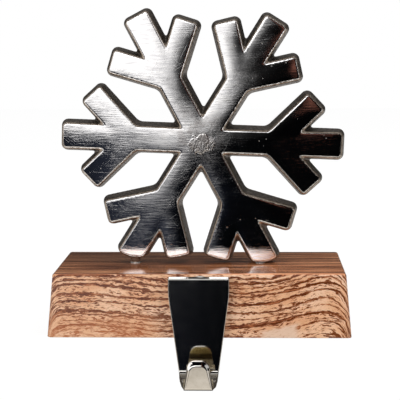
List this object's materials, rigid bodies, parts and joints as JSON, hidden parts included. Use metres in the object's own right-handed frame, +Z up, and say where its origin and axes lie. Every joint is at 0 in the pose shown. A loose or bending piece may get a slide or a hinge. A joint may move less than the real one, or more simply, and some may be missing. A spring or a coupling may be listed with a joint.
{
  "type": "mantel stocking holder",
  "caption": "Weighted mantel stocking holder: a polished cast snowflake on a tapered wooden block, with a tapering metal hook that hangs in front of the shelf's edge.",
  "frame": {"origin": "middle of the pad's underside, the face that rests on the mantel shelf", "axes": "+Z up, away from the shelf; the front with the hook faces -Y; +X to the right seen from the front"},
  "size_m": [0.12, 0.0773, 0.1452],
  "materials": {
    "wood": "glossy, light tan with dark brown streaked grain",
    "polished_casting": "nickel plated and polished on the front, as-cast on the side walls",
    "hook_metal": "mirror polished nickel",
    "zinc_steel": "bright zinc",
    "pad_felt": "black felt"
  },
  "bodies": {
    "root": {"base_block": "wood", "snowflake": "polished_casting", "hook": "hook_metal", "snowflake_screws": "zinc_steel", "snowflake_washers": "zinc_steel", "hook_screws": "zinc_steel", "non_slip_pad": "pad_felt"}
  },
  "joints": []
}
